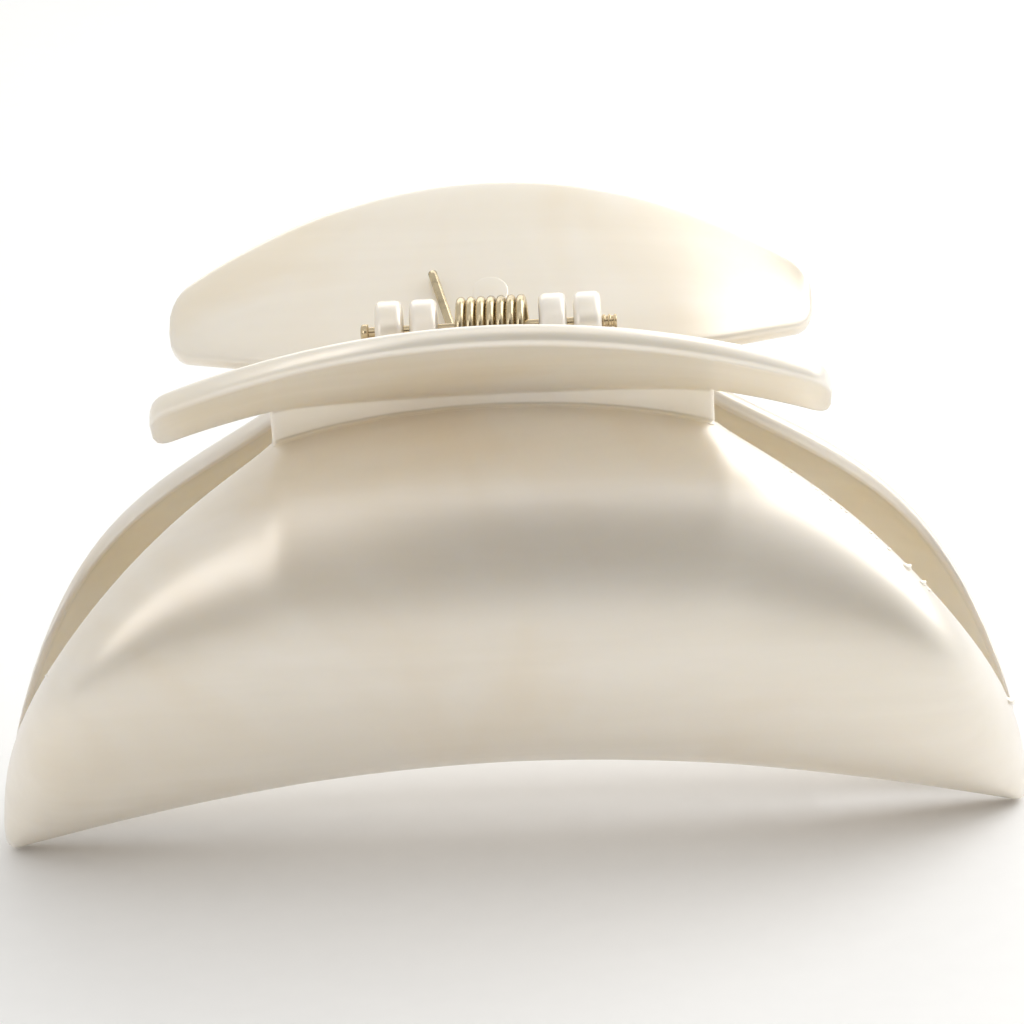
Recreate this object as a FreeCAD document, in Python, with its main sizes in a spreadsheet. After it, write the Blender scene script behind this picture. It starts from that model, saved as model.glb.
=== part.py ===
"""Half-moon claw clip for hair: two sprung jaws on one hinge pin.

Lengths are in millimetres. X runs along the hinge pin, Y from the front jaw to the back jaw
and Z up. The origin is on the surface that the four jaw tips stand on, midway between them.
"""
import FreeCAD, Part
import math
import os

Vector = FreeCAD.Vector
DOC = FreeCAD.newDocument("ClawClip")

SIZES = {
    # jaws: a half-moon seen from the front, domed outward, open towards each other
    "pin_height": 57.8,
    "wall": 2.3,
    "jaw_half_width": 57.0,
    "moon_radius": 57.5,
    "moon_centre_z": -4.3,
    "moon_dip": 1.25,
    "moon_dip_power": 0.6,
    "waist_half_width": 23.5,
    "waist_z": 51.0,
    "waist_reach": 5.8,
    "waist_crown_power": 2.0,
    "top_reach_power": 4.0,
    "side_bow": 8.4,
    "side_bow_power": 3.8,
    "tip_reach": 2.6,
    "tip_flat": 0.45,
    "sole_rise": 9.9,
    "sole_rise_power": 1.9,
    "sole_reach": 4.5,
    "sole_reach_power": 2.0,
    "dome_top_depth": 18.5,
    "dome_top_fall": 0.10,
    "dome_sole_depth": 21.5,
    "dome_sole_fall": 0.07,
    "fullness_reach_power": 2.2,
    "fullness_power": 0.62,
    # handles: half-moon wings that flare up and out from the waist
    "wing_half_width": 35.5,
    "wing_rim_reach": 24.4,
    "wing_rim_z": 64.15,
    "wing_tip_reach": 16.6,
    "wing_tip_z": 54.95,
    "wing_root_z": 52.6,
    "wing_root_sag": 0.001,
    "wing_root_flare": 1.0,
    "wing_root_curve": 49.0,
    "wing_root_blend": 1.5,
    "wing_hollow": 1.2,
    "wing_arch_power": 2.0,
    # hinge
    "knuckle_radius": 3.3,
    "inner_knuckle_start": 5.4,
    "knuckle_width": 2.95,
    "knuckle_gap": 0.75,
    "lug_reach": 6.2,
    "lug_angle": 34.0,
    "pin_radius": 0.6,
    "pin_half_length": 13.7,
    "pin_head_radius": 0.95,
    "pin_head_width": 0.9,
    "pin_ring_radius": 0.75,
    "pin_ring_width": 0.35,
    "pin_ring_pitch": 0.6,
    "pin_rings": 3,
    "running_clearance": 0.05,
    "press_interference": 0.01,
    # torsion spring
    "wire_radius": 0.5,
    "coil_radius": 2.85,
    "coil_turns": 7.0,
    "coil_pitch": 1.066,
    "coil_shift": 0.35,
    "leg_length": 11.4,
    "leg_angle": 26.0,
    "leg_bend_radius": 6.0,
    "back_leg_lean": 13.0,
    "front_leg_lean": 5.3,
    # teeth inside the soles
    "tooth_pitch": 9.0,
    "tooth_root_radius": 1.1,
    "tooth_tip_radius": 0.6,
    "tooth_overlap": 1.0,
    "tooth_root_depth": 0.6,
    "front_tooth_pairs": 4,
    "back_tooth_pairs": 4,
}

# Where the lofted sections stand, as shares of the way out along X, and the number of steps in
# which each section's curve is taken.
WAIST_STATIONS = (0.35, 0.7, 1.0)
SHOULDER_STATIONS = (0.2, 0.4, 0.6, 0.8, 0.92, 1.0)
WING_STATIONS = (0.2, 0.4, 0.6, 0.8, 1.0)
SECTION_STEPS = 8


def make_sheet():
    """The driving dimensions, one alias to a cell, in millimetres and degrees."""
    sheet = DOC.addObject("Spreadsheet::Sheet", "Sizes")
    for row, (alias, value) in enumerate(SIZES.items(), start=1):
        sheet.set(f"A{row}", alias)
        sheet.set(f"B{row}", str(value))
        sheet.setAlias(f"B{row}", alias)
    DOC.recompute()
    return sheet


SHEET = make_sheet()


def size(alias):
    """A driving dimension, read from the sheet."""
    return float(SHEET.get(alias))


def bind(feature, **expressions):
    """Binds the feature's properties to expressions over the sheet; __ in a name is a dot."""
    for name, expression in expressions.items():
        feature.setExpression(name.replace("__", "."), expression)
    return feature


# ---- the moulded walls, as sections square to X ---------------------------------------------


def moon_top(x):
    """Height of the jaw's upper edge: a low arch at the waist, then a slightly flattened arc."""
    def arc(at):
        return size("moon_centre_z") + math.sqrt(size("moon_radius") ** 2 - at ** 2)

    corner = size("waist_half_width")
    if abs(x) >= corner:
        beyond = (abs(x) - corner) / (size("jaw_half_width") - corner)
        return arc(x) - size("moon_dip") * math.sin(math.pi * beyond ** size("moon_dip_power"))
    share = (abs(x) / corner) ** size("waist_crown_power")
    return size("waist_z") + (arc(corner) - size("waist_z")) * share


def upper_edge(x):
    """Reach and height of the jaw's upper edge, which bows outward at the shoulders."""
    share = abs(x) / size("jaw_half_width")
    narrowing = 1 - share ** size("top_reach_power")
    reach = size("tip_reach") + (size("waist_reach") - size("tip_reach")) * narrowing
    bow = size("side_bow") * math.sin(math.pi * share ** size("side_bow_power"))
    return reach + bow, moon_top(x)


def dome_poles(x):
    """Bezier poles (reach, height) of the jaw's outer face, from its upper edge to its sole.

    The sole is arched between the two tips. lowest is the underside of its rounded rim, and the
    rim reaches below the outer face by as much as the face is steep there.
    """
    share = abs(x) / size("jaw_half_width")
    fullness = max(0.0, 1 - share ** size("fullness_reach_power")) ** size("fullness_power")
    top_reach, top = upper_edge(x)
    narrowing = 1 - share ** size("sole_reach_power")
    sole_reach = size("tip_reach") + (size("sole_reach") - size("tip_reach")) * narrowing
    lowest = size("sole_rise") * (1 - share ** size("sole_rise_power")) - size("tip_flat")
    height = top - lowest
    depth = size("dome_sole_depth") * fullness
    fall = size("dome_sole_fall") * height
    sole = lowest + size("wall") / 2 * fall / math.hypot(depth, fall)
    return [
        (top_reach, top),
        (top_reach + size("dome_top_depth") * fullness, top - size("dome_top_fall") * height),
        (sole_reach + depth, sole + fall),
        (sole_reach, sole),
    ]


def wing_poles(x):
    """Bezier poles (reach, height) of a handle's outer face, from its root to its rim."""
    share = (abs(x) / size("wing_half_width")) ** size("wing_arch_power")
    waist = size("waist_reach")
    flare = size("wing_root_flare") + x * x / (2 * size("wing_root_curve"))
    root_reach = (waist + flare + math.hypot(flare - waist, size("wing_root_blend"))) / 2
    root_z = size("wing_root_z") - size("wing_root_sag") * x * x
    rim_reach = size("wing_rim_reach") + (size("wing_tip_reach") - size("wing_rim_reach")) * share
    rim_z = size("wing_rim_z") + (size("wing_tip_z") - size("wing_rim_z")) * share
    run, rise = rim_reach - root_reach, rim_z - root_z
    length = math.hypot(run, rise)
    hollow = size("wing_hollow") * (1 - share)
    middle = (
        root_reach + run / 2 - hollow * rise / length,
        root_z + rise / 2 + hollow * run / length,
    )
    return [(root_reach, root_z), middle, (rim_reach, rim_z)]


def wall_section(x, poles, side, inward):
    """Closed wire at x: the outer curve, its offset one wall away, and a half-round at each end.

    side is -1 for the front jaw and +1 for the back. inward is +1 where the wall lies to the
    left of the outer curve, seen with reach to the right and height up, and -1 where right.
    """
    wall = size("wall")
    curve = Part.BezierCurve()
    curve.setPoles([Vector(x, reach, z) for reach, z in poles])
    outer, inner, along = [], [], []
    for step in range(SECTION_STEPS + 1):
        at = step / SECTION_STEPS
        tangent = curve.tangent(at)[0]
        outer.append(curve.value(at))
        inner.append(curve.value(at) + Vector(0, -tangent.z, tangent.y) * inward * wall)
        along.append(tangent)

    def placed(point):
        return Vector(point.x, side * point.y, point.z)

    def spline(points):
        line = Part.BSplineCurve()
        line.interpolate([placed(point) for point in points])
        return line.toShape()

    def round_end(begin, end, direction):
        middle = (begin + end) / 2 + direction * wall / 2
        return Part.Arc(placed(begin), placed(middle), placed(end)).toShape()

    return Part.Wire([
        spline(outer),
        round_end(outer[-1], inner[-1], along[-1]),
        spline(inner[::-1]),
        round_end(inner[0], outer[0], -along[0]),
    ])


def waist_section(x, side):
    """Closed wire at x of the low wall that joins a handle's root to the top of its jaw."""
    wall = size("wall")
    root_reach, root_z = wing_poles(x)[0]
    top_reach, top = dome_poles(x)[0]
    corners = [
        (root_reach - wall, root_z + wall / 2),
        (root_reach, root_z),
        (top_reach, top),
        (top_reach - wall / 2, top - wall),
        (top_reach - wall, top - wall / 2),
    ]
    points = [Vector(x, side * reach, z) for reach, z in corners]
    return Part.makePolygon(points + points[:1])


def mirrored(stations):
    """The stations on both sides of the middle, from left to right."""
    return [-x for x in reversed(stations)] + [0.0] + stations


def loft_feature(name, section_at, stations):
    """A moulded wall lofted through its sections, from one end of the clip to the other."""
    feature = DOC.addObject("Part::Feature", name)
    feature.Shape = Part.makeLoft([section_at(x) for x in mirrored(stations)], True, False)
    return feature


def waist_stations():
    """Places along X of the waist's sections."""
    return [size("waist_half_width") * part for part in WAIST_STATIONS]


def jaw_stations():
    """Places along X of the jaw's sections, closer together towards the tip."""
    corner = size("waist_half_width")
    beyond = size("jaw_half_width") - corner
    shoulder = [corner + beyond * math.sin(math.pi / 2 * step) for step in SHOULDER_STATIONS]
    return waist_stations() + shoulder


def wing_stations():
    """Places along X of a handle's sections."""
    return [size("wing_half_width") * part for part in WING_STATIONS]


def jaw_walls(name, side):
    """The three lofted walls of one jaw: dome, waist and handle."""
    return [
        loft_feature(name + "_dome", lambda x: wall_section(x, dome_poles(x), side, -1), jaw_stations()),
        loft_feature(name + "_waist", lambda x: waist_section(x, side), waist_stations()),
        loft_feature(name + "_wing", lambda x: wall_section(x, wing_poles(x), side, 1), wing_stations()),
    ]


# ---- hinge ----------------------------------------------------------------------------------


def cylinder_x(name, radius, start, length):
    """A cylinder along X about the hinge axis; radius, start and length are expressions."""
    feature = DOC.addObject("Part::Cylinder", name)
    feature.Placement = FreeCAD.Placement(Vector(), FreeCAD.Rotation(Vector(0, 1, 0), 90))
    return bind(
        feature,
        Radius=radius,
        Height=length,
        Placement__Base__x=start,
        Placement__Base__z="Sizes.pin_height",
    )


def knuckle(name, start, side):
    """One knuckle: a barrel round the pin, and a lug that ties it square to its handle."""
    barrel = cylinder_x(name + "_barrel", "Sizes.knuckle_radius", start, "Sizes.knuckle_width")
    lug = DOC.addObject("Part::Box", name + "_lug")
    turn = FreeCAD.Rotation(Vector(1, 0, 0), side * size("lug_angle"))
    lug.Placement = FreeCAD.Placement(Vector(), turn)
    across = f"cos({side} * Sizes.lug_angle * 1 deg)"
    down = f"sin({side} * Sizes.lug_angle * 1 deg)"
    bind(
        lug,
        Length="Sizes.knuckle_width",
        Width="2 * Sizes.knuckle_radius",
        Height="Sizes.lug_reach",
        Placement__Base__x=start,
        Placement__Base__y=f"{down} * Sizes.lug_reach - {across} * Sizes.knuckle_radius",
        Placement__Base__z=(
            f"Sizes.pin_height - {across} * Sizes.lug_reach - {down} * Sizes.knuckle_radius"
        ),
    )
    return [barrel, lug]


INNER_START = "Sizes.inner_knuckle_start"
OUTER_START = "(Sizes.inner_knuckle_start + Sizes.knuckle_width + Sizes.knuckle_gap)"


def knuckle_pair(name, start, side):
    """The two knuckles of one jaw, left and right of the spring."""
    left = knuckle(name + "_left", f"-{start} - Sizes.knuckle_width", side)
    right = knuckle(name + "_right", start, side)
    return left + right


def tooth(name, x, side):
    """One tooth, from inside the sole's edge to a little past the middle plane."""
    reach, z = dome_poles(x)[-1]
    root = reach + size("tooth_root_depth")
    cone = DOC.addObject("Part::Cone", name)
    turn = FreeCAD.Rotation(Vector(1, 0, 0), side * 90)
    cone.Placement = FreeCAD.Placement(Vector(x, side * root, z), turn)
    return bind(
        cone,
        Radius1="Sizes.tooth_root_radius",
        Radius2="Sizes.tooth_tip_radius",
        Height=f"{root} + Sizes.tooth_overlap",
        Placement__Base__z=f"{z} + Sizes.wall / 2",
    )


def teeth(name, places, side):
    """A jaw's row of teeth, one at each place along X."""
    return [tooth(f"{name}_tooth_{number}", x, side) for number, x in enumerate(places, start=1)]


def below_ground(name):
    """A block under the standing surface, which cuts a flat foot on each jaw tip."""
    block = DOC.addObject("Part::Box", name)
    return bind(
        block,
        Length="2 * Sizes.moon_radius",
        Width="2 * Sizes.wing_rim_reach",
        Height="Sizes.wall",
        Placement__Base__x="-Sizes.moon_radius",
        Placement__Base__y="-Sizes.wing_rim_reach",
        Placement__Base__z="-Sizes.wall",
    )


def jaw(name, side, start, bore, tooth_places):
    """One moulded jaw: walls, knuckles and teeth in one piece, bored for the pin."""
    blank = DOC.addObject("Part::MultiFuse", name + "_blank")
    blank.Shapes = (
        jaw_walls(name, side)
        + knuckle_pair(name + "_knuckle", start, side)
        + teeth(name, tooth_places, side)
    )
    drill = cylinder_x(name + "_bore", bore, "-Sizes.pin_half_length", "2 * Sizes.pin_half_length")
    waste = DOC.addObject("Part::MultiFuse", name + "_waste")
    waste.Shapes = [drill, below_ground(name + "_below_ground")]
    part = DOC.addObject("Part::Cut", name)
    part.Base = blank
    part.Tool = waste
    part.Label = name
    return part


def front_jaw():
    """The front jaw turns on the pin: inner knuckles, running bores and an even row of teeth."""
    pairs = int(size("front_tooth_pairs"))
    places = [size("tooth_pitch") * (step + 0.5) for step in range(-pairs, pairs)]
    return jaw("front_jaw", -1, INNER_START, "Sizes.pin_radius + Sizes.running_clearance", places)


def back_jaw():
    """The back jaw grips the pin: outer knuckles, tight bores and an odd row of teeth."""
    pairs = int(size("back_tooth_pairs"))
    places = [size("tooth_pitch") * step for step in range(-pairs, pairs + 1)]
    return jaw("back_jaw", 1, OUTER_START, "Sizes.pin_radius - Sizes.press_interference", places)


def hinge_pin():
    """The pin: a plain shaft, a flat head at the left and raised rings at the right."""
    half = "Sizes.pin_half_length"
    pieces = [
        cylinder_x("pin_shaft", "Sizes.pin_radius", f"-{half}", f"2 * {half}"),
        cylinder_x("pin_head", "Sizes.pin_head_radius", f"-{half}", "Sizes.pin_head_width"),
    ]
    for number in range(int(size("pin_rings"))):
        start = f"{half} - Sizes.pin_ring_width - {number} * Sizes.pin_ring_pitch"
        pieces.append(
            cylinder_x(f"pin_ring_{number + 1}", "Sizes.pin_ring_radius", start, "Sizes.pin_ring_width")
        )
    pin = DOC.addObject("Part::MultiFuse", "hinge_pin")
    pin.Shapes = pieces
    pin.Label = "hinge_pin"
    return pin


# ---- spring ---------------------------------------------------------------------------------


def spring_leg(side, lean):
    """One leg's edges, from the coil outward, and the point where it leaves the coil.

    It leaves the coil's underside along a tangent, bends outward in an arc until it leans by
    lean radians along X, and runs straight on to rest on its handle.
    """
    slope = math.radians(size("leg_angle"))
    bend = size("leg_bend_radius")
    start = math.atan(size("coil_pitch") / (2 * math.pi * size("coil_radius")))
    root = Vector(
        size("coil_shift") - side * coil_length() / 2,
        side * size("coil_radius") * math.sin(slope),
        size("pin_height") - size("coil_radius") * math.cos(slope),
    )

    def at(ahead, aside):
        return root + Vector(-side * aside, side * math.cos(slope) * ahead, math.sin(slope) * ahead)

    def on_bend(turn):
        return at(bend * (math.sin(turn) - math.sin(start)), bend * (math.cos(start) - math.cos(turn)))

    bent = on_bend(lean)
    left = size("leg_length") - bend * (math.sin(lean) - math.sin(start))
    end = bent + at(left, left * math.tan(lean)) - root
    arc = Part.Arc(root, on_bend((start + lean) / 2), bent)
    return [arc.toShape(), Part.makeLine(bent, end)]


def coil_sweep():
    """Angle through which the wire turns, in radians: the full turns and the two leg slopes."""
    return 2 * math.radians(size("leg_angle")) + 2 * math.pi * size("coil_turns")


def coil_length():
    """Length of the coil's middle line along X."""
    return size("coil_pitch") * coil_sweep() / (2 * math.pi)


def spring_path():
    """The wire's middle line: back leg, close coil round the pin, front leg."""
    coil = Part.makeLongHelix(size("coil_pitch"), coil_length(), size("coil_radius"), 0, True)
    # The helix has one edge to a turn, starts on +X and climbs Z. It is laid along X, with its
    # start under the pin, and turned on to where the back leg leaves it.
    coil.rotate(Vector(), Vector(0, 1, 0), 90)
    coil.rotate(Vector(), Vector(1, 0, 0), size("leg_angle"))
    coil.translate(Vector(size("coil_shift") - coil_length() / 2, 0, size("pin_height")))
    back_leg = spring_leg(1, math.radians(size("back_leg_lean")))
    front_leg = spring_leg(-1, math.radians(size("front_leg_lean")))
    feature = DOC.addObject("Part::Feature", "spring_path")
    feature.Shape = Part.Wire(Part.__sortEdges__(back_leg + coil.Edges + front_leg))
    return feature


def torsion_spring():
    """The spring: round wire swept along its path."""
    path = spring_path()
    start, after = path.Shape.OrderedVertexes[:2]
    profile = DOC.addObject("Part::Circle", "wire_section")
    bind(profile, Radius="Sizes.wire_radius")
    turn = FreeCAD.Rotation(Vector(0, 0, 1), after.Point - start.Point)
    profile.Placement = FreeCAD.Placement(start.Point, turn)
    spring = DOC.addObject("Part::Sweep", "torsion_spring")
    spring.Sections = [profile]
    spring.Spine = (path, [f"Edge{number + 1}" for number in range(len(path.Shape.Edges))])
    spring.Solid = True
    spring.Frenet = False
    spring.Label = "torsion_spring"
    return spring


def check(parts):
    """Stops if any object failed to build, or a sub-part is empty, broken or in pieces."""
    for item in DOC.Objects:
        if "Invalid" in item.State or "Error" in item.State:
            raise RuntimeError(f"{item.Label} did not build: {item.State}")
    for part in parts:
        shape = part.Shape
        if shape.isNull() or not shape.isValid() or len(shape.Solids) != 1:
            raise RuntimeError(f"{part.Label} is not one sound solid: {len(shape.Solids)}")


def main():
    """Builds the four sub-parts, checks them and writes one STEP file for each."""
    parts = [front_jaw(), back_jaw(), hinge_pin(), torsion_spring()]
    DOC.recompute()
    check(parts)
    os.makedirs("parts", exist_ok=True)
    for part in parts:
        part.Shape.exportStep(f"parts/{part.Label}.step")


main()
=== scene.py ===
"""Looks of a half-moon hair claw clip: pearl plastic jaws, brass spring and pin.

Shapes are worked out in millimetres, in the frame's own axes (X along the pin, the front jaw at
-Y, Z up), and turned into metres when a mesh is made.
"""

import math

import bmesh
import bpy
import numpy as np
from mathutils import Matrix, Vector


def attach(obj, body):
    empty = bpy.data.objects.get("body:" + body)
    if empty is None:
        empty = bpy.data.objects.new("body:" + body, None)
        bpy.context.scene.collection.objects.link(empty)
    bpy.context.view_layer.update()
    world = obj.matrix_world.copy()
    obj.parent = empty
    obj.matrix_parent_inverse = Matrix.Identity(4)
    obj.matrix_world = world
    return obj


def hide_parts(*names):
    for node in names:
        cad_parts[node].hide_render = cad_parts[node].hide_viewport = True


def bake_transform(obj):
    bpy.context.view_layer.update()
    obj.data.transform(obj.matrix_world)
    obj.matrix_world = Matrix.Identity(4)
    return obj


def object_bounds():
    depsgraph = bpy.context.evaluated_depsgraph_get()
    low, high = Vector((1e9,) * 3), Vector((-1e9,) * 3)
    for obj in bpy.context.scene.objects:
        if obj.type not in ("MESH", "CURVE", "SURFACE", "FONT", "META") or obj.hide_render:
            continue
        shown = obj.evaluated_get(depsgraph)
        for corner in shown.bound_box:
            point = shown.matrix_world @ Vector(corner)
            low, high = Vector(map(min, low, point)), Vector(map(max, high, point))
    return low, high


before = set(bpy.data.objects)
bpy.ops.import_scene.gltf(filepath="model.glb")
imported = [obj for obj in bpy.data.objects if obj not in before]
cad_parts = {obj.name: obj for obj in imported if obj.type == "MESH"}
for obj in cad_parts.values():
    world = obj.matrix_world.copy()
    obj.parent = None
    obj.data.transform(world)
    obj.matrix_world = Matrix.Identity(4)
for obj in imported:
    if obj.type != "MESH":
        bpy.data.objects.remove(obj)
CAD_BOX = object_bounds()

MM = 0.001

# ---- driving dimensions of the shapes, in millimetres ----------------------------------------

PIN_Z = 57.8
WALL = 2.3
JAW_HALF_WIDTH = 57.0
MOON_RADIUS = 57.5
MOON_CENTRE_Z = -4.3
WAIST_HALF_WIDTH = 23.5
WAIST_Z = 51.0
WAIST_REACH = 5.8
SIDE_BOW = 8.4
SIDE_BOW_POWER = 3.8
MOON_DIP = 1.25
MOON_DIP_POWER = 0.6
TIP_REACH = 2.6
TIP_FLAT = 0.45
SOLE_RISE = 9.9
SOLE_RISE_POWER = 1.9
SOLE_REACH = 4.5
TOP_REACH_POWER = 4
SOLE_REACH_POWER = 2
DOME_TOP_DEPTH = 18.5
DOME_TOP_FALL = 0.10
DOME_SOLE_DEPTH = 21.5
DOME_SOLE_FALL = 0.07
FULLNESS_REACH_POWER = 2.2
FULLNESS_POWER = 0.62
WING_HALF_WIDTH = 35.5
WING_RIM = (24.4, 64.15)
WING_TIP = (16.6, 54.95)
WING_ROOT_Z = 52.6
WING_ROOT_SAG = 0.001
WING_ROOT_FLARE = 1.0
WING_ROOT_CURVE = 49.0
WING_ROOT_BLEND = 1.5
WING_HOLLOW = 1.2
KNUCKLE_RADIUS = 3.3
KNUCKLE_ROUNDING = 0.7
KNUCKLE_WIDTH = 2.95
INNER_START = 5.4
KNUCKLE_GAP = 0.75
LUG_REACH = 6.2
LUG_ANGLE = math.radians(34.0)
PIN_RADIUS = 0.6
PIN_HALF_LENGTH = 13.7
PIN_RING_WIDTH = 0.35
PIN_RING_PITCH = 0.6
PIN_RINGS = 3
TOOTH_PITCH = 9.0
TOOTH_ROOT_RADIUS = 1.1
TOOTH_TIP_RADIUS = 0.6
TOOTH_ROOT_DEPTH = 0.6
TOOTH_OVERLAP = 1.0
FRONT_TOOTH_PAIRS = 4
BACK_TOOTH_PAIRS = 4
WIRE_RADIUS = 0.5
COIL_RADIUS = 2.85
COIL_TURNS = 7.0
COIL_PITCH = 1.066
COIL_SHIFT = 0.35
LEG_LENGTH = 11.4
LEG_BEND_RADIUS = 6.0
BACK_LEG_LEAN = math.radians(13.0)
FRONT_LEG_LEAN = math.radians(5.3)
LEG_ANGLE = math.radians(26.0)

RIM_SQUARENESS = 2.8   # 2 is a half-round rim, more is flatter with rounded corners
SECTION_PITCH = 1.2    # along X
NOSE_STEPS = 8
CURVE_STEPS = 40
RIM_STEPS = 10


# ---- meshes ----------------------------------------------------------------------------------


def new_piece(name, points, faces):
    """A mesh object from points in millimetres."""
    mesh = bpy.data.meshes.new(name)
    mesh.from_pydata([(x * MM, y * MM, z * MM) for x, y, z in points], [], faces)
    mesh.validate()
    mesh.update()
    piece = bpy.data.objects.new(name, mesh)
    bpy.context.scene.collection.objects.link(piece)
    return piece


def ring_faces(rings, size, closed):
    """Quads between neighbouring rings of `size` points; closed joins the last to the first."""
    faces = []
    last = rings if closed else rings - 1
    for ring in range(last):
        here, there = ring * size, (ring + 1) % rings * size
        for k in range(size):
            after = (k + 1) % size
            faces.append((here + k, here + after, there + after, there + k))
    return faces


def zip_cap(start, size, flip):
    """Quads that close a loop which begins in the middle of one of its ends."""
    faces = []
    for k in range(size // 2 - 1):
        quad = (start + k, start + k + 1, start + size - 2 - k, start + size - 1 - k)
        faces.append(quad[::-1] if flip else quad)
    return faces


def loft(name, loops):
    """A closed mesh through loops of equal length, zipped shut at both ends."""
    size = len(loops[0])
    faces = ring_faces(len(loops), size, False)
    faces += zip_cap(0, size, False)
    faces += zip_cap((len(loops) - 1) * size, size, True)
    return new_piece(name, np.concatenate(loops), faces)


def outward(piece):
    """Turns every face outward."""
    work = bmesh.new()
    work.from_mesh(piece.data)
    bmesh.ops.recalc_face_normals(work, faces=work.faces)
    work.to_mesh(piece.data)
    work.free()
    return piece


def join_solid(base, extras):
    """Unites the extras with the base into one closed mesh."""
    for extra in extras:
        union = base.modifiers.new("union", "BOOLEAN")
        union.operation = "UNION"
        union.solver = "EXACT"
        union.object = extra
    bpy.context.view_layer.update()
    depsgraph = bpy.context.evaluated_depsgraph_get()
    mesh = bpy.data.meshes.new_from_object(base.evaluated_get(depsgraph))
    base.modifiers.clear()
    base.data = mesh
    for extra in extras:
        bpy.data.objects.remove(extra)
    return base


def smooth(piece, angle=40.0):
    """Smooth shading with sharp edges above the angle."""
    piece.data.shade_smooth()
    piece.data.set_sharp_from_angle(angle=math.radians(angle))


# ---- jaw walls -------------------------------------------------------------------------------


def moon_top(x):
    """Height of the jaw's upper edge."""
    def arc(at):
        return MOON_CENTRE_Z + math.sqrt(MOON_RADIUS ** 2 - at ** 2)

    if abs(x) >= WAIST_HALF_WIDTH:
        beyond = min(1.0, (abs(x) - WAIST_HALF_WIDTH) / (JAW_HALF_WIDTH - WAIST_HALF_WIDTH))
        return arc(x) - MOON_DIP * math.sin(math.pi * beyond ** MOON_DIP_POWER)
    return WAIST_Z + (arc(WAIST_HALF_WIDTH) - WAIST_Z) * (x / WAIST_HALF_WIDTH) ** 2


def dome_poles(x):
    """Bezier poles (reach, height) of the jaw's outer face, from its upper edge to its sole."""
    share = min(1.0, abs(x) / JAW_HALF_WIDTH)
    fullness = max(0.0, 1 - share ** FULLNESS_REACH_POWER) ** FULLNESS_POWER
    top = moon_top(x)
    top_reach = TIP_REACH + (WAIST_REACH - TIP_REACH) * (1 - share ** TOP_REACH_POWER)
    top_reach += SIDE_BOW * math.sin(math.pi * share ** SIDE_BOW_POWER)
    sole_reach = TIP_REACH + (SOLE_REACH - TIP_REACH) * (1 - share ** SOLE_REACH_POWER)
    lowest = SOLE_RISE * (1 - share ** SOLE_RISE_POWER) - TIP_FLAT
    height = top - lowest
    depth, fall = DOME_SOLE_DEPTH * fullness, DOME_SOLE_FALL * height
    sole = lowest + WALL / 2 * fall / math.hypot(depth, fall)
    return np.array([
        (top_reach, top),
        (top_reach + DOME_TOP_DEPTH * fullness, top - DOME_TOP_FALL * height),
        (sole_reach + depth, sole + fall),
        (sole_reach, sole),
    ])


def wing_poles(x):
    """Bezier poles (reach, height) of a handle's outer face, from its root to its rim."""
    share = abs(x) / WING_HALF_WIDTH
    flare = WING_ROOT_FLARE + x * x / (2 * WING_ROOT_CURVE)
    root_reach = 0.5 * (WAIST_REACH + flare + math.hypot(flare - WAIST_REACH, WING_ROOT_BLEND))
    rim = np.array(WING_RIM) + (np.array(WING_TIP) - np.array(WING_RIM)) * share ** 2
    root = np.array((root_reach, WING_ROOT_Z - WING_ROOT_SAG * x * x))
    run, rise = rim - root
    length = math.hypot(run, rise)
    hollow = WING_HOLLOW * (1 - share ** 2)
    middle = (root + rim) / 2 + hollow * np.array((-rise, run)) / length
    return np.array([root, middle, rim])


def bezier(poles, at):
    """Point and unit tangent of a Bezier curve."""
    points = poles.copy()
    slope = None
    while len(points) > 1:
        slope = points[1:] - points[:-1]
        points = points[:-1] * (1 - at) + points[1:] * at
    tangent = slope[0]
    return points[0], tangent / max(1e-9, math.hypot(*tangent))


def wall_loop(poles, inward):
    """Section of a wall: outer face, rim, inner face and rim, as (reach, height) points.

    It starts in the middle of the rim at the poles' first end.
    """
    outer, inner = [], []
    for step in range(CURVE_STEPS + 1):
        point, tangent = bezier(poles, step / CURVE_STEPS)
        outer.append(point)
        inner.append(point + np.array((-tangent[1], tangent[0])) * inward * WALL)
    rims = []
    for edge, other, sign in ((outer[-1], inner[-1], 1), (inner[0], outer[0], -1)):
        across = (edge - other) / 2
        _, tangent = bezier(poles, 1.0 if sign > 0 else 0.0)
        along = tangent * sign * WALL / 2
        turn = np.linspace(0, math.pi, RIM_STEPS + 1)[1:-1]
        power = 2 / RIM_SQUARENESS
        rims.append([
            (edge + other) / 2 + across * np.sign(math.cos(a)) * abs(math.cos(a)) ** power
            + along * math.sin(a) ** power
            for a in turn
        ])
    loop = outer + rims[0] + inner[::-1] + rims[1]
    middle = len(rims[1]) // 2
    return np.array(loop[-middle:] + loop[:-middle])


def round_nose(loop, gap, depth_along, depth_across):
    """Shrinks a section towards its middle where it is nearer to the wall's end than the depths.

    The nose it leaves is a superellipse along X. The last section keeps a small width.
    """
    power, smallest = 2.4, 0.02
    centre = loop.mean(axis=0)
    spread = loop - centre
    way = np.linalg.svd(spread, full_matrices=False)[2][0]
    along = spread @ way
    across = spread - np.outer(along, way)

    def share(depth):
        missing = max(0.0, 1 - gap / depth)
        return max(smallest, (1 - missing ** power) ** (1 / power))

    return centre + np.outer(along * share(depth_along), way) + across * share(depth_across)


def columns(half_width):
    """Places along X, evenly spaced and then closer together at the rounded noses."""
    nose = 2.4
    straight = half_width - nose
    count = math.ceil(straight / SECTION_PITCH)
    places = [straight * k / count for k in range(count + 1)]
    places += [half_width - nose * math.cos(math.pi / 2 * k / NOSE_STEPS) ** 1.5
               for k in range(1, NOSE_STEPS + 1)]
    return [-x for x in places[:0:-1]] + places


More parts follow.
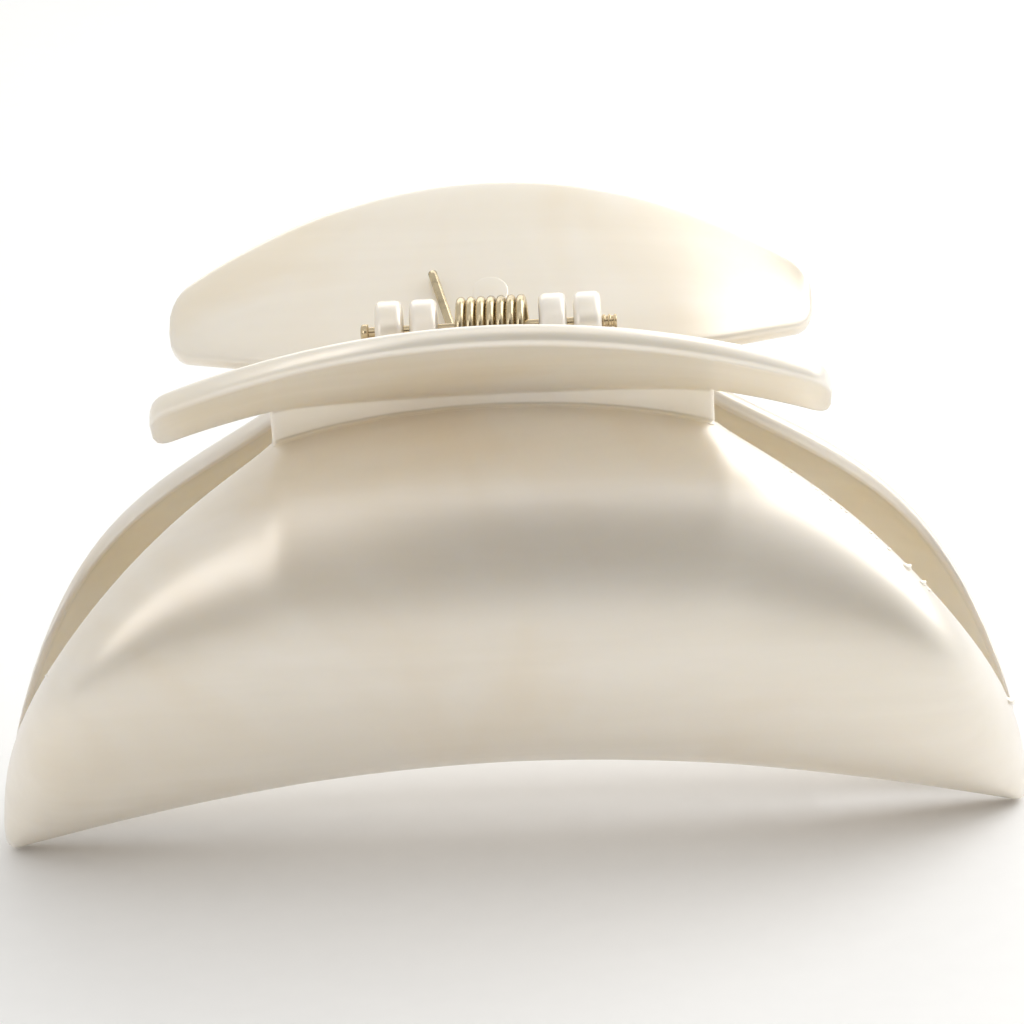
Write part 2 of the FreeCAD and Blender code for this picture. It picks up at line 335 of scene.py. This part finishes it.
def placed(loop, x, side):
    """A section's points put at x, on the front (-1) or back (+1) jaw."""
    return np.column_stack([np.full(len(loop), x), side * loop[:, 0], loop[:, 1]])


def dome(side):
    """The domed half-moon wall."""
    loops = []
    for x in columns(JAW_HALF_WIDTH):
        loop = round_nose(wall_loop(dome_poles(x), -1), JAW_HALF_WIDTH - abs(x), 1.6, 1.2)
        loop[:, 1] = np.maximum(loop[:, 1], 0.0)
        loops.append(placed(loop, x, side))
    return outward(loft("dome", loops))


def wing(side):
    """The flared handle."""
    loops = []
    for x in columns(WING_HALF_WIDTH):
        loop = round_nose(wall_loop(wing_poles(x), 1), WING_HALF_WIDTH - abs(x), 2.3, 1.0)
        loops.append(placed(loop, x, side))
    return outward(loft("wing", loops))


def waist_loop(x, inset):
    """Section of the low band between jaw and handle, with a small fillet at both."""
    fillet = 0.45
    poles, wing_line = dome_poles(x), wing_poles(x)
    top_reach, top = poles[0]
    root_reach, root_z = wing_line[0]
    _, handle_way = bezier(wing_line, 0.0)
    _, dome_way = bezier(poles, 0.0)
    corner_low, corner_high = np.array((top_reach, top)), np.array((root_reach, root_z))
    band = (corner_high - corner_low) / np.linalg.norm(corner_high - corner_low)
    points = []
    for t in np.linspace(0, 1, 7):
        points.append(corner_low + dome_way * fillet * (1 - t) ** 2 + band * fillet * t ** 2)
    for t in np.linspace(0, 1, 7):
        points.append(corner_high - band * fillet * (1 - t) ** 2 + handle_way * fillet * t ** 2)
    points = [point - np.array((inset, 0)) for point in points]
    points.append(corner_high + handle_way * fillet + np.array((-handle_way[1], handle_way[0])) * WALL / 2)
    points.append(np.array((root_reach - WALL, root_z + WALL / 2)))
    points.append(np.array((top_reach - WALL, top - WALL / 2)))
    points.append(np.array((top_reach - WALL / 2, top - WALL)))
    points.append(corner_low + dome_way * fillet + np.array((0, -WALL / 2)))
    return np.array(points)


def waist(side):
    """The band that joins the handle to the top of its jaw."""
    edge = 0.5
    straight = WAIST_HALF_WIDTH - edge
    places = [(straight * k / 20, 0.0) for k in range(21)]
    for k in range(1, 6):
        turn = math.pi / 2 * k / 5
        places.append((straight + edge * math.sin(turn), edge * (1 - math.cos(turn))))
    places = [(-x, inset) for x, inset in places[:0:-1]] + places
    loops = [placed(waist_loop(x, inset), x, side) for x, inset in places]
    size = len(loops[0])
    faces = ring_faces(len(loops), size, False)
    faces.append(tuple(range(size)))
    faces.append(tuple(range((len(loops) - 1) * size, len(loops) * size))[::-1])
    return outward(new_piece("waist", np.concatenate(loops), faces))


# ---- hinge -----------------------------------------------------------------------------------


def knuckle(start, side):
    """A barrel round the pin with a lug towards its handle, bored through."""
    arc = [math.pi * k / 24 for k in range(25)]

    def outline(radius):
        points = [(radius * math.cos(a), radius * math.sin(a)) for a in arc]
        points += [(-radius, -LUG_REACH * k / 6) for k in range(1, 7)]
        points += [(-radius + 2 * radius * k / 6, -LUG_REACH) for k in range(1, 6)]
        points += [(radius, -LUG_REACH * k / 6) for k in range(6, 0, -1)]
        return points

    middle = outline(KNUCKLE_RADIUS)
    bore = PIN_RADIUS + 0.03
    hole = []
    for across, up in middle:
        length = math.hypot(across, up)
        hole.append((across / length * bore, up / length * bore))
    ends = []
    for turn in (math.pi / 2 * k / 4 for k in range(4, -1, -1)):
        inset = KNUCKLE_ROUNDING * (1 - math.cos(turn))
        ends.append((KNUCKLE_ROUNDING * (1 - math.sin(turn)), outline(KNUCKLE_RADIUS - inset)))
    far_ends = [(KNUCKLE_WIDTH - x, line) for x, line in ends[::-1]]
    rings = [(0.0, hole)] + ends + far_ends + [(KNUCKLE_WIDTH, hole)]
    turn = side * LUG_ANGLE
    points = []
    for x, line in rings:
        for across, up in line:
            y = across * math.cos(turn) - up * math.sin(turn)
            z = across * math.sin(turn) + up * math.cos(turn)
            points.append((start + x, y, PIN_Z + z))
    return outward(new_piece("knuckle", points, ring_faces(len(rings), len(middle), True)))


def knuckles(start, side):
    """The jaw's two knuckles, left and right of the spring."""
    return [knuckle(-start - KNUCKLE_WIDTH, side), knuckle(start, side)]


def lathe_x(name, profile, centre_z, around=40):
    """A closed turned piece about a line along X; profile holds (x, radius) from tip to tip."""
    points = []
    for x, radius in profile:
        for k in range(around):
            turn = 2 * math.pi * k / around
            points.append((x, radius * math.cos(turn), centre_z + radius * math.sin(turn)))
    faces = ring_faces(len(profile), around, False)
    faces.append(tuple(range(around))[::-1])
    faces.append(tuple(range((len(profile) - 1) * around, len(profile) * around)))
    return outward(new_piece(name, points, faces))


def tooth(x, side):
    """A tapered tooth with a rounded tip, from inside the sole to a little past the middle."""
    poles = dome_poles(x)
    reach, z = poles[-1]
    root, length = reach + TOOTH_ROOT_DEPTH, reach + TOOTH_ROOT_DEPTH + TOOTH_OVERLAP
    taper = TOOTH_ROOT_RADIUS - TOOTH_TIP_RADIUS
    profile = [(length * k / 8, TOOTH_ROOT_RADIUS - taper * k / 8) for k in range(8)]
    profile += [(length - TOOTH_TIP_RADIUS + TOOTH_TIP_RADIUS * math.sin(a), 0.625 * math.cos(a))
                for a in np.linspace(0.15, 1.5, 6)]
    piece = lathe_x("tooth", profile, 0.0, 20)
    for vertex in piece.data.vertices:
        along, across, up = vertex.co / MM
        vertex.co = Vector((x + across, side * (root - along), z + WALL / 2 + up)) * MM
    return outward(piece)


def ejector_mark(side):
    """The round witness of an ejector pin, a hair proud of the handle's inner face."""
    radius, proud, buried = 1.95, 0.07, 0.8
    middle_x, reach = 0.2, 11.2
    poles = wing_poles(middle_x)
    best = min((abs(bezier(poles, k / 200)[0][0] - reach), k / 200) for k in range(201))[1]
    point, way = bezier(poles, best)
    normal = np.array((-way[1], way[0]))
    face = point + normal * WALL
    profile = [(-buried, radius), (proud - 0.05, radius), (proud - 0.015, radius - 0.035),
               (proud, radius - 0.09)]
    piece = lathe_x("ejector_mark", profile, 0.0, 48)
    for vertex in piece.data.vertices:
        out, across, along = vertex.co / MM
        place = face + normal * out + way * along
        vertex.co = Vector((middle_x + across, side * place[0], place[1])) * MM
    return outward(piece)


def nub(x, side, radius, lift):
    """A little stub of plastic left on the jaw's upper edge."""
    work = bmesh.new()
    bmesh.ops.create_icosphere(work, subdivisions=3, radius=radius * MM)
    mesh = bpy.data.meshes.new("nub")
    work.to_mesh(mesh)
    work.free()
    piece = bpy.data.objects.new("nub", mesh)
    bpy.context.scene.collection.objects.link(piece)
    reach, top = dome_poles(x)[0]
    for vertex in mesh.vertices:
        along, across, up = vertex.co
        ripple = 1 + 0.18 * math.sin(5 * along / (radius * MM)) * math.cos(4 * up / (radius * MM))
        vertex.co = Vector((x * MM + along * 1.5 * ripple, side * (reach + lift) * MM + across * ripple,
                            (top - 0.3 * radius) * MM + up * ripple))
    return piece


def front_edge_flaws():
    """Trimmed flash on the front jaw's right shoulder, and the gate stub near its right tip."""
    places = [(30.6, 0.13), (31.3, 0.17), (33.4, 0.12), (33.9, 0.18), (34.5, 0.14), (35.3, 0.2),
              (36.4, 0.15), (36.9, 0.19), (38.3, 0.14), (39.4, 0.2), (40.0, 0.16), (41.2, 0.22),
              (43.0, 0.44), (44.6, 0.36), (45.3, 0.2), (-49.0, 0.18)]
    return [nub(x, -1, radius, 0.0) for x, radius in places] + [nub(54.3, -1, 0.5, -0.1)]


def jaw(name, side, start, tooth_places, flaws=()):
    """One moulded jaw in a single closed mesh."""
    extras = [wing(side), waist(side)] + knuckles(start, side)
    extras += [tooth(x, side) for x in tooth_places]
    extras += [ejector_mark(side)] + list(flaws)
    piece = join_solid(dome(side), extras)
    piece.name = name
    smooth(piece)
    return piece


def coil_point(at):
    """Point of the coil's middle line, at from 0 (back leg) to 1 (front leg)."""
    sweep = 2 * LEG_ANGLE + 2 * math.pi * COIL_TURNS
    turn = LEG_ANGLE - sweep * at
    length = COIL_PITCH * sweep / (2 * math.pi)
    return np.array((
        COIL_SHIFT + length * (at - 0.5),
        COIL_RADIUS * math.sin(turn),
        PIN_Z - COIL_RADIUS * math.cos(turn),
    ))


def leg_points(root, side, lean):
    """Middle line of a leg: a bend outward along X, then straight on to rest on its handle."""
    start = math.atan(COIL_PITCH / (2 * math.pi * COIL_RADIUS))
    bend = [start + (lean - start) * k / 6 for k in range(1, 7)]
    steps = [(LEG_BEND_RADIUS * (math.sin(a) - math.sin(start)),
              LEG_BEND_RADIUS * (math.cos(start) - math.cos(a)))
             for a in bend]
    ahead, aside = steps[-1]
    left = LEG_LENGTH - ahead
    steps += [(ahead + left * k / 14, aside + left * k / 14 * math.tan(lean)) for k in range(1, 15)]
    return [root + np.array((-side * aside, side * math.cos(LEG_ANGLE) * ahead, math.sin(LEG_ANGLE) * ahead))
            for ahead, aside in steps]


def spring_line():
    """Middle line of the wire: back leg, coil, front leg."""
    steps = int(40 * COIL_TURNS)
    coil = [coil_point(k / steps) for k in range(steps + 1)]
    back_leg = leg_points(coil[0], 1, BACK_LEG_LEAN)
    front_leg = leg_points(coil[-1], -1, FRONT_LEG_LEAN)
    return back_leg[::-1] + coil + front_leg


def tube(name, line, radius, around=16):
    """Round wire along a line of points, with its cut ends slightly chamfered."""
    line = [np.array(point, float) for point in line]
    chamfer = 0.12
    start, end = line[0] - line[1], line[-1] - line[-2]
    start, end = start / np.linalg.norm(start), end / np.linalg.norm(end)
    stations = [(line[0] + start * chamfer, radius - chamfer)]
    stations += [(point, radius) for point in line]
    stations += [(line[-1] + end * chamfer, radius - chamfer)]
    points = []
    across = np.array((1.0, 0.0, 0.0))
    for k, (point, width) in enumerate(stations):
        before = stations[max(0, k - 1)][0]
        after = stations[min(len(stations) - 1, k + 1)][0]
        way = (after - before) / np.linalg.norm(after - before)
        across = across - way * (across @ way)
        across /= np.linalg.norm(across)
        up = np.cross(way, across)
        for j in range(around):
            turn = 2 * math.pi * j / around
            points.append(point + width * (across * math.cos(turn) + up * math.sin(turn)))
    faces = ring_faces(len(stations), around, False)
    faces.append(tuple(range(around))[::-1])
    faces.append(tuple(range((len(stations) - 1) * around, len(stations) * around)))
    return outward(new_piece(name, points, faces))


def hinge_pin():
    """The pin: domed head at the left, plain shaft, three rolled rings at the right."""
    end = PIN_HALF_LENGTH
    profile = [(-end, 0.25), (-end + 0.03, 0.55), (-end + 0.12, 0.8), (-end + 0.3, 0.93),
               (-end + 0.55, 0.95), (-end + 0.8, 0.92), (-end + 0.88, 0.82), (-end + 0.9, PIN_RADIUS)]
    for number in range(PIN_RINGS):
        middle = end - PIN_RING_WIDTH / 2 - PIN_RING_PITCH * (PIN_RINGS - 1 - number)
        profile += [(middle - 0.2, PIN_RADIUS), (middle - 0.15, 0.7), (middle - 0.06, 0.745),
                    (middle + 0.06, 0.745), (middle + 0.15, 0.7)]
        if number < PIN_RINGS - 1:
            profile.append((middle + 0.2, PIN_RADIUS))
    profile += [(end, 0.5)]
    piece = lathe_x("pin_with_rings", profile, PIN_Z)
    smooth(piece, 60)
    return piece


# ---- materials -------------------------------------------------------------------------------


class Nodes:
    """Short ways to add and link shader nodes."""

    def __init__(self, name):
        self.material = bpy.data.materials.new(name)
        self.material.use_nodes = True
        self.tree = self.material.node_tree
        self.shader = self.tree.nodes["Principled BSDF"]

    def add(self, kind, **values):
        node = self.tree.nodes.new(kind)
        for key, value in values.items():
            setattr(node, key, value)
        return node

    def link(self, source, target):
        self.tree.links.new(source, target)

    def place(self, scale):
        """Object coordinates, scaled along each axis, in units of 1/m."""
        coords = self.add("ShaderNodeTexCoord")
        mapping = self.add("ShaderNodeMapping")
        mapping.inputs["Scale"].default_value = scale
        self.link(coords.outputs["Object"], mapping.inputs["Vector"])
        return mapping.outputs["Vector"]

    def noise(self, where, scale, detail=2.0, roughness=0.5, distortion=0.0):
        node = self.add("ShaderNodeTexNoise")
        node.inputs["Scale"].default_value = scale
        node.inputs["Detail"].default_value = detail
        node.inputs["Roughness"].default_value = roughness
        node.inputs["Distortion"].default_value = distortion
        self.link(where, node.inputs["Vector"])
        return node.outputs["Fac"]

    def ramp(self, value, stops):
        node = self.add("ShaderNodeValToRGB")
        node.color_ramp.elements.remove(node.color_ramp.elements[0])
        node.color_ramp.elements[0].position = stops[0][0]
        node.color_ramp.elements[0].color = stops[0][1]
        for position, colour in stops[1:]:
            node.color_ramp.elements.new(position).color = colour
        self.link(value, node.inputs["Fac"])
        return node.outputs["Color"]

    def span(self, value, low, high, from_low=0.0, from_high=1.0):
        node = self.add("ShaderNodeMapRange")
        node.inputs["From Min"].default_value = from_low
        node.inputs["From Max"].default_value = from_high
        node.inputs["To Min"].default_value = low
        node.inputs["To Max"].default_value = high
        self.link(value, node.inputs["Value"])
        return node.outputs["Result"]

    def mix(self, factor, first, second, blend="MIX"):
        node = self.add("ShaderNodeMix", data_type="RGBA", blend_type=blend)
        for source, socket in ((factor, 0), (first, 6), (second, 7)):
            if isinstance(source, (float, tuple)):
                node.inputs[socket].default_value = source
            else:
                self.link(source, node.inputs[socket])
        return node.outputs[2]

    def bump(self, height, distance):
        node = self.add("ShaderNodeBump")
        node.inputs["Strength"].default_value = 1.0
        node.inputs["Distance"].default_value = distance
        self.link(height, node.inputs["Height"])
        return node.outputs["Normal"]


def pearl_plastic():
    """Moulded cream plastic with a pearl pigment: soft swirls, flow lines and a few specks."""
    n = Nodes("pearl_plastic")
    shader = n.shader.inputs
    swirl = n.noise(n.place((22, 22, 22)), 1.0, 3.0, 0.55, 1.2)
    flow = n.noise(n.place((14, 120, 120)), 1.0, 4.0, 0.6, 0.4)
    cream = n.ramp(swirl, [
        (0.30, (0.890, 0.800, 0.685, 1)),
        (0.50, (0.920, 0.852, 0.762, 1)),
        (0.70, (0.905, 0.845, 0.752, 1)),
    ])
    streaks = n.ramp(flow, [(0.35, (0.955, 0.95, 0.94, 1)), (0.65, (1, 1, 1, 1))])
    colour = n.mix(1.0, cream, streaks, "MULTIPLY")
    cells = n.add("ShaderNodeTexVoronoi", feature="F1")
    cells.inputs["Scale"].default_value = 190.0
    coords = n.add("ShaderNodeTexCoord")
    n.link(coords.outputs["Object"], cells.inputs["Vector"])
    near = n.span(cells.outputs["Distance"], 1.0, 0.0, 0.02, 0.045)
    split = n.add("ShaderNodeSeparateColor")
    n.link(cells.outputs["Color"], split.inputs["Color"])
    chosen = n.span(split.outputs["Red"], 0.0, 1.0, 0.975, 0.98)
    speck = n.add("ShaderNodeMath", operation="MULTIPLY")
    n.link(near, speck.inputs[0])
    n.link(chosen, speck.inputs[1])
    colour = n.mix(speck.outputs[0], colour, (0.25, 0.17, 0.10, 1.0))
    n.link(colour, shader["Base Color"])
    handled = n.noise(n.place((45, 45, 45)), 1.0, 1.0)
    n.link(n.span(handled, 0.33, 0.41), shader["Roughness"])
    waves = n.noise(n.place((130, 130, 130)), 1.0, 1.0)
    n.link(n.bump(waves, 0.00005), shader["Normal"])
    shader["Metallic"].default_value = 0.45
    shader["IOR"].default_value = 1.5
    shader["Coat Weight"].default_value = 0.2
    shader["Coat Roughness"].default_value = 0.12
    shader["Subsurface Weight"].default_value = 0.8
    shader["Subsurface Radius"].default_value = (1.0, 0.88, 0.68)
    shader["Subsurface Scale"].default_value = 0.006
    return n.material


def pale_gold(name, tint, drawn):
    """Pale gold plating with drawing lines, thinner and darker in places."""
    n = Nodes(name)
    shader = n.shader.inputs
    cloud = n.noise(n.place((260, 260, 260)), 1.0, 4.0, 0.6, 0.5)
    dark = tuple(part * 0.55 for part in tint) + (1.0,)
    bright = tuple(min(1.0, part * 1.12) for part in tint) + (1.0,)
    colour = n.ramp(cloud, [(0.25, dark), (0.48, tint + (1.0,)), (0.75, bright)])
    n.link(colour, shader["Base Color"])
    lines = n.noise(n.place(drawn), 1.0, 3.0, 0.7)
    n.link(n.span(lines, 0.14, 0.28, 0.3, 0.7), shader["Roughness"])
    n.link(n.bump(lines, 0.00001), shader["Normal"])
    shader["Metallic"].default_value = 1.0
    return n.material


def pale_floor():
    """Matt white paper under the clip."""
    n = Nodes("pale_floor")
    shader = n.shader.inputs
    fibre = n.noise(n.place((300, 300, 300)), 1.0, 3.0)
    paper = n.ramp(fibre, [(0.3, (0.915, 0.915, 0.91, 1)), (0.7, (0.925, 0.925, 0.92, 1))])
    n.link(paper, shader["Base Color"])
    shader["Roughness"].default_value = 0.75
    shader["Specular IOR Level"].default_value = 0.2
    return n.material


# ---- stage, lights and camera ----------------------------------------------------------------


def build_floor():
    """A large pale disc under the jaw tips."""
    radius, around = 4000.0, 96
    points = [(radius * math.cos(2 * math.pi * k / around), radius * math.sin(2 * math.pi * k / around), 0.0)
              for k in range(around)]
    floor = new_piece("floor", points, [tuple(range(around))])
    floor.location.z = CAD_BOX[0][2] - 0.00005
    floor.data.materials.append(pale_floor())


def area_light(name, place, size, power, tint=(1, 1, 1), aim=(0, 0, 30)):
    """A soft box at a place in millimetres, turned towards aim."""
    light = bpy.data.lights.new(name, "AREA")
    light.shape = "RECTANGLE"
    light.size, light.size_y = size[0] * MM, size[1] * MM
    light.energy = power
    light.color = tint
    holder = bpy.data.objects.new(name, light)
    holder.location = Vector(place) * MM
    holder.rotation_euler = (Vector(aim) - Vector(place)).to_track_quat("-Z", "Y").to_euler()
    bpy.context.scene.collection.objects.link(holder)


def build_world():
    """A pale room, brighter at the sides, behind and overhead than in front."""
    world = bpy.data.worlds.new("studio")
    world.use_nodes = True
    nodes, links = world.node_tree.nodes, world.node_tree.links
    coords = nodes.new("ShaderNodeTexCoord")
    axes = nodes.new("ShaderNodeSeparateXYZ")
    front = nodes.new("ShaderNodeMapRange")
    front.interpolation_type = "SMOOTHSTEP"
    front.inputs["From Min"].default_value = -0.9
    front.inputs["From Max"].default_value = -0.25
    shade = nodes.new("ShaderNodeValToRGB")
    shade.color_ramp.elements[0].color = (0.10, 0.078, 0.058, 1)
    shade.color_ramp.elements[1].color = (0.77, 0.765, 0.75, 1)
    links.new(coords.outputs["Generated"], axes.inputs["Vector"])
    links.new(axes.outputs["Y"], front.inputs["Value"])
    links.new(front.outputs["Result"], shade.inputs["Fac"])
    links.new(shade.outputs["Color"], nodes["Background"].inputs["Color"])
    bpy.context.scene.world = world


def build_lights():
    """Soft boxes at the left, the right and the back, and a weak one above the front."""
    area_light("left_box", (-230, -270, 230), (150, 190), 0.18, (1, 1, 1), (-27, -17, 30))
    area_light("right_box", (316, 110, 290), (400, 380), 1.05, (1, 1, 1), (32, -12, 35))
    area_light("back_box", (0, 420, 300), (500, 300), 0.55)
    area_light("front_top_box", (0, -200, 340), (320, 150), 0.10)
    bpy.context.scene.view_settings.view_transform = "Standard"


def build_camera():
    """The reference view: a long lens a little above the clip, slightly rolled."""
    elevation, azimuth, roll = math.radians(22.0), math.radians(0.9), math.radians(3.16)
    distance, target = 450.0, Vector((1.4, 0.0, 36.4))
    back = Vector((math.sin(azimuth) * math.cos(elevation), -math.cos(azimuth) * math.cos(elevation),
                   math.sin(elevation)))
    right = Vector((math.cos(azimuth), math.sin(azimuth), 0.0))
    up = back.cross(right)
    rolled_right = right * math.cos(roll) - up * math.sin(roll)
    rolled_up = right * math.sin(roll) + up * math.cos(roll)
    camera = bpy.data.cameras.new("camera")
    camera.sensor_width = 36.0
    camera.lens = 145.7
    camera.clip_end = 100.0
    holder = bpy.data.objects.new("camera", camera)
    turn = Matrix((rolled_right, rolled_up, back)).transposed().to_4x4()
    holder.matrix_world = Matrix.Translation((target + back * distance) * MM) @ turn
    bpy.context.scene.collection.objects.link(holder)
    bpy.context.scene.camera = holder


# ---- the clip --------------------------------------------------------------------------------


def finish_piece(piece, material, body, node):
    """Gives a piece its material and its place in the assembly."""
    piece.data.materials.clear()
    piece.data.materials.append(material)
    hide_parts(node)
    if body:
        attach(piece, body)


def build_clip():
    """All the visible pieces."""
    plastic = pearl_plastic()
    front_places = [TOOTH_PITCH * (k + 0.5) for k in range(-FRONT_TOOTH_PAIRS, FRONT_TOOTH_PAIRS)]
    back_places = [TOOTH_PITCH * k for k in range(-BACK_TOOTH_PAIRS, BACK_TOOTH_PAIRS + 1)]
    outer_start = INNER_START + KNUCKLE_WIDTH + KNUCKLE_GAP
    front = jaw("front_jaw_moulding", -1, INNER_START, front_places, front_edge_flaws())
    back = jaw("back_jaw_moulding", 1, outer_start, back_places)
    finish_piece(front, plastic, "front_jaw", "front_jaw")
    finish_piece(back, plastic, "back_jaw", "back_jaw")
    pin = hinge_pin()
    finish_piece(pin, pale_gold("pin_metal", (0.60, 0.49, 0.32), (200, 3000, 3000)), "back_jaw",
                 "hinge_pin")
    spring = tube("spring_coil", spring_line(), WIRE_RADIUS)
    smooth(spring, 50)
    finish_piece(spring, pale_gold("spring_wire", (0.60, 0.50, 0.33), (3000, 300, 300)), None,
                 "torsion_spring")
    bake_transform(spring)


build_camera()
build_clip()
build_floor()
build_world()
build_lights()
